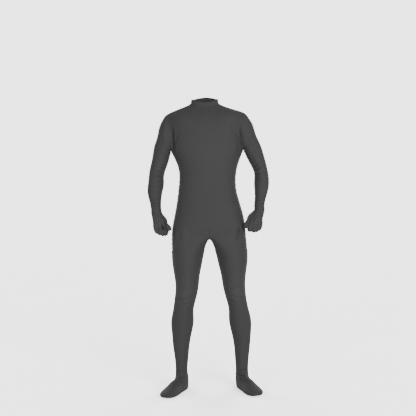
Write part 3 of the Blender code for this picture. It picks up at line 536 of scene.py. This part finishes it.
def outer_skin(node):
    """A copy of the outer side of a cloth node's wall, its triangles joined again in fours."""
    skin = bmesh.new()
    skin.from_mesh(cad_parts[node].data)
    bmesh.ops.remove_doubles(skin, verts=skin.verts, dist=MERGE)
    rims = [face for face in skin.faces
            if any(abs(edge.calc_length() - CAD_WALL) < WALL_MATCH for edge in face.edges)]
    bmesh.ops.delete(skin, geom=rims, context="FACES")
    for shell in islands(skin):
        if faces_inwards(shell):
            bmesh.ops.delete(skin, geom=shell, context="FACES")
    plain = {vert for vert in skin.verts if len(vert.link_edges) == (3 if vert.is_boundary else 4)}
    diagonals = []
    for edge in skin.edges:
        ends = any(vert in plain and not vert.is_boundary for vert in edge.verts)
        others = [vert for face in edge.link_faces for vert in face.verts if vert not in edge.verts]
        if len(others) == 2 and not ends and all(vert in plain for vert in others):
            diagonals.append(edge)
    bmesh.ops.dissolve_edges(skin, edges=diagonals, use_verts=False, use_face_split=False)
    bmesh.ops.join_triangles(
        skin, faces=[face for face in skin.faces if len(face.verts) == 3],
        angle_face_threshold=DIAGONAL_ANGLE, angle_shape_threshold=DIAGONAL_ANGLE)
    return skin


def sewn(nodes):
    """The outer sides of some cloth nodes in one net; each face's material index says its node."""
    net = bmesh.new()
    for number, node in enumerate(nodes):
        skin = outer_skin(node)
        for face in skin.faces:
            face.material_index = number
        part = bpy.data.meshes.new(node + "_skin")
        skin.to_mesh(part)
        skin.free()
        net.from_mesh(part)
        bpy.data.meshes.remove(part)
    bmesh.ops.remove_doubles(net, verts=[vert for vert in net.verts if vert.is_boundary], dist=SEW)
    for face in net.faces:
        face.smooth = True
    mesh = bpy.data.meshes.new("net")
    net.to_mesh(mesh)
    net.free()
    for _ in nodes:
        mesh.materials.append(None)
    return mesh


def points_of(mesh, field="co"):
    values = np.empty(len(mesh.vertices) * 3, dtype=np.float32)
    mesh.vertices.foreach_get(field, values)
    return values.reshape(-1, 3).astype(float)


def surface_of(mesh):
    corners = [tuple(face.vertices) for face in mesh.polygons]
    return BVHTree.FromPolygons([vert.co for vert in mesh.vertices], corners)


def refined(mesh, levels):
    """The net divided and smoothed, with its cage moved first so that the cloth still passes its points."""
    net = link("net", mesh)
    smooth = net.modifiers.new("smooth", "SUBSURF")
    smooth.use_limit_surface = True
    smooth.levels = smooth.render_levels = 1
    aim = points_of(mesh)
    cage = aim.copy()
    for _ in range(FIT_PASSES):
        bpy.context.view_layer.update()
        fine = net.evaluated_get(bpy.context.evaluated_depsgraph_get()).to_mesh()
        cage += aim - points_of(fine)[:len(aim)]
        mesh.vertices.foreach_set("co", cage.astype(np.float32).ravel())
        mesh.update()
    smooth.levels = smooth.render_levels = levels
    bpy.context.view_layer.update()
    result = bpy.data.meshes.new_from_object(net.evaluated_get(bpy.context.evaluated_depsgraph_get()))
    bpy.data.objects.remove(net)
    return result


def frame_at(tree, crease):
    """The cloth's point nearest to a crease, the way outwards there, and the ways along and across it."""
    point, out, _, _ = tree.find_nearest(Vector((crease.x, crease.y, crease.z)))
    level = Vector((0, 0, 1)).cross(out)
    if level.length < LEVEL_LEAST:
        level = Vector((1, 0, 0))
    level.normalize()
    rise = out.cross(level).normalized()
    turn = math.radians(crease.turn)
    along = level * math.cos(turn) + rise * math.sin(turn)
    across = rise * math.cos(turn) - level * math.sin(turn)
    return np.array(point), np.array(out), np.array(along), np.array(across)


def creased(mesh, creases, depth):
    """Press the creases into the cloth, each with soft shoulders, and note where the cloth is rubbed and
    where shade is painted into the crease troughs.
    """
    points = points_of(mesh)
    normals = points_of(mesh, "normal")
    tree = surface_of(mesh)
    moved = points.copy()
    painted_crease_shade = np.zeros(len(points))
    for crease in creases:
        middle, out, along, across = frame_at(tree, crease)
        away = points - middle
        near = np.linalg.norm(away, axis=1) < crease.length * REACH_ALONG + crease.width * REACH_ACROSS
        near &= normals @ out > SAME_SIDE
        here = away[near]
        run = here @ along / crease.length
        offset = (here @ across - crease.bend * run ** 2) / crease.width
        fade = np.exp(-run ** 4 * END_FADE)
        shoulders = SHOULDER_HEIGHT * np.exp(-(np.abs(offset) - SHOULDER_ASIDE) ** 2)
        amount = (np.exp(-offset ** 2) - shoulders) * fade
        moved[near] -= normals[near] * (amount * crease.depth * depth)[:, None]
        # Painted shade: each crease's trough is marked to be painted darker, more for deeper creases
        painted_crease_shade[near] += np.maximum(amount, 0) * min(crease.depth / CREASE_SHADE_FULL_DEPTH, 1)
    rubbed = np.zeros(len(points))
    for rub in RUBS:
        away = np.linalg.norm(points - np.array([rub.x, rub.y, rub.z]), axis=1)
        rubbed = np.maximum(rubbed, np.exp(-(away / rub.radius) ** 2) * rub.amount)
    mesh.vertices.foreach_set("co", moved.astype(np.float32).ravel())
    for name, values in (("painted_crease_shade", np.clip(painted_crease_shade, 0, 1)), ("rubbed", rubbed)):
        layer = mesh.attributes.new(name, "FLOAT", "POINT")
        layer.data.foreach_set("value", values.astype(np.float32))
    mesh.update()


def parted(mesh, number, name, settings):
    """One piece of the sewn net, its edges rolled into the seams."""
    piece = bmesh.new()
    piece.from_mesh(mesh)
    others = [face for face in piece.faces if face.material_index != number]
    bmesh.ops.delete(piece, geom=others, context="FACES")
    bmesh.ops.inset_region(
        piece, faces=piece.faces, thickness=settings.seam_roll, use_boundary=True, use_even_offset=True)
    piece.normal_update()
    rim = [vert for vert in piece.verts if vert.is_boundary]
    inward = {}
    for vert in rim:
        near = [edge.other_vert(vert) for edge in vert.link_edges if not edge.is_boundary]
        step = (near[0].co - vert.co).normalized() if near else Vector()
        inward[vert] = step * SEAM_PULL - vert.normal * settings.seam_dip
    for vert, step in inward.items():
        vert.co += step
    for face in piece.faces:
        face.material_index = 0
        face.smooth = True
    result = bpy.data.meshes.new(name)
    piece.to_mesh(result)
    piece.free()
    return link(name, result)


store = {}


def body_cloth(settings):
    """The whole body's cloth in one creased net, made once for all its pieces."""
    if "body" not in store:
        mesh = refined(sewn(BODY_PIECES), settings.detail)
        creased(mesh, BODY_CREASES, settings.crease_depth)
        store["body"] = mesh
    return store["body"]


def jersey_for(settings):
    if "jersey" not in store:
        store["jersey"] = jersey("charcoal_jersey", settings)
    return store["jersey"]


# Flat cuts in metres: width all round and length, with the area of the shaped cut
Cut = namedtuple("Cut", "width length area")


def dress(piece, node, settings):
    """Give a cloth piece its wall, its jersey and its place in the frame."""
    wall = piece.modifiers.new("wall", "SOLIDIFY")
    wall.thickness = settings.thickness
    wall.offset = -1.0
    wall.use_rim_only = node in PANELS
    piece.data.materials.clear()
    piece.data.materials.append(jersey_for(settings))
    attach(piece, "garment")
    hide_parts(node)
    return piece


def make_body_pieces(nodes, settings):
    mesh = body_cloth(settings)
    for node in nodes:
        dress(parted(mesh, BODY_PIECES.index(node), "cloth_" + node, settings), node, settings)


def pushed(mesh, nodes):
    """Move a glove's cloth softly where the tables say, then close its curled fingers towards its palm."""
    points = points_of(mesh)
    owner = np.zeros(len(points), dtype=int)
    for face in mesh.polygons:
        owner[list(face.vertices)] = face.material_index
    for push in PUSHES:
        if push.node in nodes:
            away = np.hypot(points[:, 0] - push.x, points[:, 2] - push.z)
            weight = np.exp(-(away / push.reach) ** 2) * (owner == nodes.index(push.node))
            points += weight[:, None] * np.array([push.across, 0.0, push.up])
    for curl in CURLS:
        if curl.node in nodes:
            rise = np.clip((points[:, 2] - curl.fold_z) / CURL_HEIGHT, 0, 1)
            behind = np.clip((points[:, 1] - curl.palm_y) / CURL_BLEND, 0, 1) * (points[:, 2] < CURL_TOP)
            own = owner == nodes.index(curl.node)
            points[:, 1] -= np.sin(rise * math.pi / 2) * behind * own * curl.forward
    mesh.vertices.foreach_set("co", points.astype(np.float32).ravel())
    mesh.update()


def tuck_cuff(piece):
    """Carry the glove's upper edge on, up inside the end of the sleeve."""
    cloth = bmesh.new()
    cloth.from_mesh(piece.data)
    top = max(vert.co.z for vert in cloth.verts)
    edges = [edge for edge in cloth.edges
             if edge.is_boundary and all(vert.co.z > top - CUFF_TUCK for vert in edge.verts)]
    made = bmesh.ops.extrude_edge_only(cloth, edges=edges)["geom"]
    lifted = [item for item in made if isinstance(item, bmesh.types.BMVert)]
    middle = sum((vert.co for vert in lifted), Vector()) / len(lifted)
    bmesh.ops.translate(cloth, verts=lifted, vec=(0, 0, CUFF_TUCK))
    narrower = (CUFF_TAPER, CUFF_TAPER, 1)
    bmesh.ops.scale(cloth, verts=lifted, vec=narrower, space=Matrix.Translation(-middle))
    bmesh.ops.recalc_face_normals(cloth, faces=cloth.faces)
    for face in cloth.faces:
        face.smooth = True
    cloth.to_mesh(piece.data)
    cloth.free()


# The zip: its tapes, metal parts, coil turns and stitches, the block sizes across, outwards and along the zip
TAPE_HALF_WIDTH = 0.0100
TAPE_OPEN_HALF_WIDTH = 0.0029
TAPE_COLUMNS = 10
TAPE_ROWS = 140
TAPE_END = 0.0006
TAPE_UNDER = 0.0012
TAPE_THICKNESS = 0.0004
METAL_EDGE = 0.00028
FLAT_ANGLE = math.radians(1)
SHARP_ANGLE = math.radians(30)
SHADED_ANGLE = math.radians(40)
COIL_PITCH = 0.0015
TOOTH = Vector((0.0027, 0.0007, 0.00085))
TOOTH_ASIDE = 0.0010
TOOTH_SLANT = math.radians(12)
TOOTH_EDGE = 0.00018
STITCH = Vector((0.00038, 0.00038, 0.0023))
STITCH_PITCH = 0.0031
STITCH_ASIDE = 0.0062
STITCH_EDGE = 0.0001
STITCH_PROUD = 0.2
RAY_START = 1.0
LEAST_SLOPE = 0.3

# The woven tape's ribs and rows, and the thread's plies
WEAVE_WIDTH = 0.0012
WEAVE_ROW = 0.0006
PLY_PITCH = 0.0005
PLY_SLANT = 0.7


def softened(node, name, edge_width):
    """A copy of a hard node with its flat faces whole and its edges rounded."""
    form = bmesh.new()
    form.from_mesh(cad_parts[node].data)
    bmesh.ops.remove_doubles(form, verts=form.verts, dist=MERGE)
    bmesh.ops.dissolve_limit(form, angle_limit=FLAT_ANGLE, verts=form.verts, edges=form.edges)
    sharp = [edge for edge in form.edges if edge.calc_face_angle(0) > SHARP_ANGLE]
    bmesh.ops.bevel(
        form, geom=sharp, offset=edge_width, offset_type="OFFSET", affect="EDGES", segments=2, profile=0.5,
        material=-1, clamp_overlap=True)
    for face in form.faces:
        face.smooth = True
    mesh = bpy.data.meshes.new(name)
    form.to_mesh(mesh)
    form.free()
    mesh.set_sharp_from_angle(angle=SHADED_ANGLE)
    return link(name, mesh)


def down_the_back(tree, aside, step):
    """Points and outward directions on a surface, a step apart, from the zip's top to its lower end."""
    low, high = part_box("zip_chain")
    middle = (low[0] + high[0]) / 2
    height = high[2] - step
    rows = []
    while height > low[2] + 2 * step:
        point, out, _, _ = tree.ray_cast(Vector((middle + aside, RAY_START, height)), Vector((0, -1, 0)))
        if point:
            rows.append((point, out))
        height -= step * max(abs(out.y) if point else 1.0, LEAST_SLOPE)
    return rows


def lay(form, point, out, size, aside=0.0, slant=0.0):
    """Add one small block that lies on a surface, its height along the zip."""
    across = Vector((1, 0, 0))
    down = out.cross(across).normalized()
    turned = Matrix((across, out, down)).transposed().to_4x4()
    place = Matrix.Translation(point + across * aside) @ turned @ Matrix.Rotation(slant, 4, "Y")
    bmesh.ops.create_cube(form, size=1.0, matrix=place @ Matrix.Diagonal((*size, 1.0)))


def rounded(form, name, edge_width):
    bmesh.ops.bevel(
        form, geom=form.edges[:], offset=edge_width, offset_type="OFFSET", affect="EDGES", segments=1,
        profile=0.5, material=-1)
    bmesh.ops.recalc_face_normals(form, faces=form.faces)
    for face in form.faces:
        face.smooth = True
    mesh = bpy.data.meshes.new(name)
    form.to_mesh(mesh)
    form.free()
    return link(name, mesh)


def zip_tape(settings):
    """Both tapes in one strip: its middle follows the frame's strip and its wings lie inside the backs."""
    chain = surface_of(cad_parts["zip_chain"].data)
    cloth = surface_of(body_cloth(settings))
    low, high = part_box("zip_chain")
    middle = (low[0] + high[0]) / 2
    length = high[2] - low[2]
    strip = bmesh.new()
    bmesh.ops.create_grid(
        strip, x_segments=TAPE_COLUMNS, y_segments=TAPE_ROWS, size=0.5,
        matrix=Matrix.Diagonal((2 * TAPE_HALF_WIDTH, length - 2 * TAPE_END, 1.0, 1.0)))
    lost = []
    for vert in strip.verts:
        aside, height = vert.co.x, (low[2] + high[2]) / 2 + vert.co.y
        wing = abs(aside) > TAPE_OPEN_HALF_WIDTH
        start = Vector((middle + aside, RAY_START, height))
        point, out, _, _ = (cloth if wing else chain).ray_cast(start, Vector((0, -1, 0)))
        if point is None and not wing:
            point, out, _, _ = cloth.ray_cast(start, Vector((0, -1, 0)))
        if point is None or point.y < 0:
            lost.append(vert)
        else:
            vert.co = point - out * (TAPE_UNDER if wing else 0.0)
    bmesh.ops.delete(strip, geom=lost, context="VERTS")
    bmesh.ops.recalc_face_normals(strip, faces=strip.faces)
    if sum(face.normal.y for face in strip.faces) < 0:
        bmesh.ops.reverse_faces(strip, faces=strip.faces)
    for face in strip.faces:
        face.smooth = True
    mesh = bpy.data.meshes.new("zip_tape")
    strip.to_mesh(mesh)
    strip.free()
    piece = link("zip_tape", mesh)
    wall = piece.modifiers.new("wall", "SOLIDIFY")
    wall.thickness = TAPE_THICKNESS
    wall.offset = -1.0
    return piece


def zip_teeth():
    """The coil: short slanted turns that mesh in the middle of the tapes."""
    tree = surface_of(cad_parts["zip_chain"].data)
    form = bmesh.new()
    for number, (point, out) in enumerate(down_the_back(tree, 0.0, COIL_PITCH / 2)):
        side = 1 if number % 2 else -1
        lay(form, point + out * (TOOTH.y / 2), out, TOOTH, side * TOOTH_ASIDE, side * TOOTH_SLANT)
    return rounded(form, "zip_coil_turns", TOOTH_EDGE)


def zip_stitches(settings):
    """Two rows of stitches that hold the tapes to the backs."""
    tree = surface_of(body_cloth(settings))
    form = bmesh.new()
    for aside in (-STITCH_ASIDE, STITCH_ASIDE):
        for point, out in down_the_back(tree, aside, STITCH_PITCH):
            lay(form, point + out * (STITCH.y * STITCH_PROUD), out, STITCH)
    return rounded(form, "zip_stitches", STITCH_EDGE)


def nylon(name, settings):
    """Moulded nylon monofilament, a little dusty."""
    finish = Finish(name)
    place = finish.place()
    dust = finish.noise(place, scale=900.0, detail=3.0, roughness=0.6)
    return finish.set(
        Base_Color=finish.mixed(dust, tint(settings.coil_colour, 0.8), tint(settings.coil_colour, 1.5)),
        Roughness=0.34 + dust * 0.22,
        Normal=finish.bump(dust, distance=0.00003, strength=0.5),
        Specular_IOR_Level=0.45)


def zip_weave(name, settings):
    """Woven zip tape: a fine herringbone along the zip."""
    finish = Finish(name)
    place = finish.place()
    x, _, z = finish.axes(place)
    zigzag = abs((x / WEAVE_WIDTH).part() - 0.5)
    rows = (((z / WEAVE_ROW) + zigzag * 2).part() * math.pi).wave()
    lint = finish.noise(place, scale=700.0)
    share = rows * 0.5 + lint * 0.4
    return finish.set(
        Base_Color=finish.mixed(share, tint(settings.coil_colour, 0.85), tint(settings.coil_colour, 1.7)),
        Roughness=0.72 + lint * 0.12,
        Normal=finish.bump(rows + lint * 0.4, distance=0.00008, strength=0.7),
        Specular_IOR_Level=0.3)


def twisted_thread(name, settings):
    """Two-ply thread, its plies slanted across each stitch."""
    finish = Finish(name)
    place = finish.place()
    x, _, z = finish.axes(place)
    plies = (((z + x * PLY_SLANT) / PLY_PITCH).part() * math.pi).wave()
    lint = finish.noise(place, scale=1500.0)
    share = plies * 0.6 + lint * 0.3
    return finish.set(
        Base_Color=finish.mixed(share, tint(settings.thread_colour, 0.7), tint(settings.thread_colour, 1.25)),
        Roughness=0.62 + lint * 0.15,
        Normal=finish.bump(plies, distance=0.00006, strength=0.8),
        Specular_IOR_Level=0.35)


def enamel(name, settings):
    """Dark enamel on cast zinc, with fine scuffs from use all over it."""
    finish = Finish(name)
    place = finish.place()
    orange_peel = finish.noise(place, scale=420.0)
    scuffs = finish.node("ShaderNodeValToRGB", {"stops": ((0.60, 0.0), (0.74, 1.0))}, {
        "Fac": finish.noise(place, scale=260.0, detail=6.0, roughness=0.7)})
    return finish.set(
        Base_Color=finish.mixed(scuffs, tint(settings.metal_colour), tint(settings.metal_colour, 2.6)),
        Metallic=scuffs * 0.8,
        Roughness=0.30 + orange_peel * 0.12 + scuffs * 0.10,
        Normal=finish.bump(orange_peel - scuffs * 0.5, distance=0.00003, strength=0.5))


def finish_piece(piece, body, slot, material, *replaced):
    piece.data.materials.clear()
    piece.data.materials.append(material)
    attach(piece, body)
    if replaced:
        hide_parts(*replaced)


class UNITARD_OT_panels(bpy.types.Operator):
    """Build the front and the two backs, from the shoulders to the ankles"""

    bl_idname = "unitard.panels"
    bl_label = "Front and backs"

    def execute(self, context):
        make_body_pieces(["front", "back_left", "back_right"], context.scene.unitard)
        return {"FINISHED"}


class UNITARD_OT_sleeves(bpy.types.Operator):
    """Build both sleeves and the mock-neck collar"""

    bl_idname = "unitard.sleeves"
    bl_label = "Sleeves and collar"

    def execute(self, context):
        make_body_pieces(["sleeve_left", "sleeve_right", "collar"], context.scene.unitard)
        return {"FINISHED"}


class UNITARD_OT_feet(bpy.types.Operator):
    """Build the uppers and soles of both feet"""

    bl_idname = "unitard.feet"
    bl_label = "Feet"

    def execute(self, context):
        make_body_pieces(["foot_left", "foot_right", "sole_left", "sole_right"], context.scene.unitard)
        return {"FINISHED"}


class UNITARD_OT_gloves(bpy.types.Operator):
    """Build both gloves with their thumbs"""

    bl_idname = "unitard.gloves"
    bl_label = "Gloves"

    def execute(self, context):
        settings = context.scene.unitard
        for side, sign in SIDES.items():
            nodes = ["glove_" + side, "thumb_" + side]
            mesh = refined(sewn(nodes), settings.detail)
            pushed(mesh, nodes)
            creased(mesh, [crease for crease in GLOVE_CREASES if crease.x * sign > 0], settings.crease_depth)
            for number, node in enumerate(nodes):
                piece = parted(mesh, number, "cloth_" + node, settings)
                if number == 0:
                    tuck_cuff(piece)
                dress(piece, node, settings)
        return {"FINISHED"}


class UNITARD_OT_zip(bpy.types.Operator):
    """Build the back zip: tapes, coil, slider, pull tab and the stitches on both sides"""

    bl_idname = "unitard.zip"
    bl_label = "Back zip"

    def execute(self, context):
        settings = context.scene.unitard
        metal = enamel("dark_enamel", settings)
        weave = zip_weave("zip_tape_weave", settings)
        finish_piece(zip_tape(settings), "garment", "zip_coil", weave, "zip_chain")
        slider = softened("zip_slider", "slider", METAL_EDGE)
        finish_piece(slider, "garment", "zip_metal", metal, "zip_slider")
        tab = softened("pull_tab", "tab", METAL_EDGE)
        finish_piece(tab, "tab", "zip_metal", metal, "pull_tab")
        finish_piece(zip_teeth(), "garment", "zip_coil", nylon("coil_nylon", settings))
        finish_piece(zip_stitches(settings), "garment", "jersey", twisted_thread("seam_thread", settings))
        return {"FINISHED"}


class UNITARD_OT_stage(bpy.types.Operator):
    """Build the floor, the lights and the camera"""

    bl_idname = "unitard.stage"
    bl_label = "Stage"

    def execute(self, context):
        settings = context.scene.unitard
        make_floor(settings)
        make_lights()
        make_camera(settings)
        return {"FINISHED"}


FLOOR_HALF_WIDTH = 12.0
SENSOR_WIDTH = 36.0


def make_floor(settings):
    level = Matrix.Translation((0, 0, cad_box[0][2]))
    slab = bmesh.new()
    bmesh.ops.create_grid(slab, x_segments=1, y_segments=1, size=FLOOR_HALF_WIDTH, matrix=level)
    mesh = bpy.data.meshes.new("studio_floor")
    slab.to_mesh(mesh)
    slab.free()
    floor = link("studio_floor", mesh)
    finish = Finish("floor_paper")
    grain = finish.noise(finish.place(), scale=40.0)
    mesh.materials.append(finish.set(
        Base_Color=finish.mixed(grain, tint(settings.floor_colour, 0.985), tint(settings.floor_colour)),
        Roughness=0.9, Specular_IOR_Level=0.1))
    floor.is_shadow_catcher = True


Lamp = namedtuple("Lamp", "name x y z aim_z power red green blue")
LAMPS = [
    Lamp("key", 2.3, -4.4, 0.6, -0.6, 190.0, 0.90, 0.94, 1.0),
    Lamp("fill", -2.0, -4.4, 0.2, -0.7, 85.0, 1.0, 0.92, 0.84),
    Lamp("back_right", -2.4, 4.2, 0.8, -0.5, 110.0, 1.0, 0.98, 0.96),
    Lamp("back_left", 2.4, 4.2, 0.6, -0.6, 110.0, 0.97, 0.98, 1.0),
]
LAMP_WIDTH = 2.4
LAMP_HEIGHT = 2.8

# The sky's strength as light on the garment, and as the camera sees it behind
SKY_LIGHT = 0.42
SKY_SEEN = 3.4


def make_lights():
    for lamp in LAMPS:
        light = bpy.data.lights.new(lamp.name, "AREA")
        light.shape = "RECTANGLE"
        light.size = LAMP_WIDTH
        light.size_y = LAMP_HEIGHT
        light.energy = lamp.power
        light.color = (lamp.red, lamp.green, lamp.blue)
        holder = bpy.data.objects.new(lamp.name, light)
        bpy.context.scene.collection.objects.link(holder)
        place = Vector((lamp.x, lamp.y, lamp.z))
        aim = Vector((0, 0, lamp.aim_z)) - place
        holder.matrix_world = Matrix.Translation(place) @ aim.to_track_quat("-Z", "Y").to_matrix().to_4x4()
    world = bpy.data.worlds.new("studio")
    bpy.context.scene.world = world
    world.use_nodes = True
    sky = world.node_tree.nodes["Background"]
    sky.inputs["Color"].default_value = (1.0, 1.0, 1.0, 1.0)
    seen = Wire(world.node_tree, world.node_tree.nodes.new("ShaderNodeLightPath").outputs["Is Camera Ray"])
    feed(world.node_tree, sky.inputs["Strength"], SKY_LIGHT + seen * (SKY_SEEN - SKY_LIGHT))


def make_camera(settings):
    camera = bpy.data.cameras.new("camera")
    camera.sensor_width = SENSOR_WIDTH
    camera.lens = settings.lens
    holder = bpy.data.objects.new("camera", camera)
    bpy.context.scene.collection.objects.link(holder)
    holder.location = (0.0, -settings.camera_distance, settings.camera_height)
    holder.rotation_euler = (math.pi / 2, settings.camera_roll, 0.0)
    bpy.context.scene.camera = holder


class UNITARD_PT_panel(bpy.types.Panel):
    """The garment's sizes and colours, and its steps in order"""

    bl_idname = "UNITARD_PT_panel"
    bl_label = "Unitard"
    bl_space_type = "VIEW_3D"
    bl_region_type = "UI"
    bl_category = "Unitard"

    def draw(self, context):
        settings = context.scene.unitard
        for name in UnitardSettings.__annotations__:
            self.layout.prop(settings, name)
        for step in STEPS:
            self.layout.operator(step.bl_idname)


STEPS = (
    UNITARD_OT_panels, UNITARD_OT_sleeves, UNITARD_OT_feet,
    UNITARD_OT_gloves, UNITARD_OT_zip, UNITARD_OT_stage)
CLASSES = (UnitardSettings,) + STEPS + (UNITARD_PT_panel,)


def register():
    for item in CLASSES:
        bpy.utils.register_class(item)
    bpy.types.Scene.unitard = bpy.props.PointerProperty(type=UnitardSettings)


def unregister():
    del bpy.types.Scene.unitard
    for item in reversed(CLASSES):
        bpy.utils.unregister_class(item)


def main():
    register()
    bpy.ops.unitard.panels()
    bpy.ops.unitard.sleeves()
    bpy.ops.unitard.feet()
    bpy.ops.unitard.gloves()
    bpy.ops.unitard.zip()
    bpy.ops.unitard.stage()


if __name__ == "__main__":
    main()
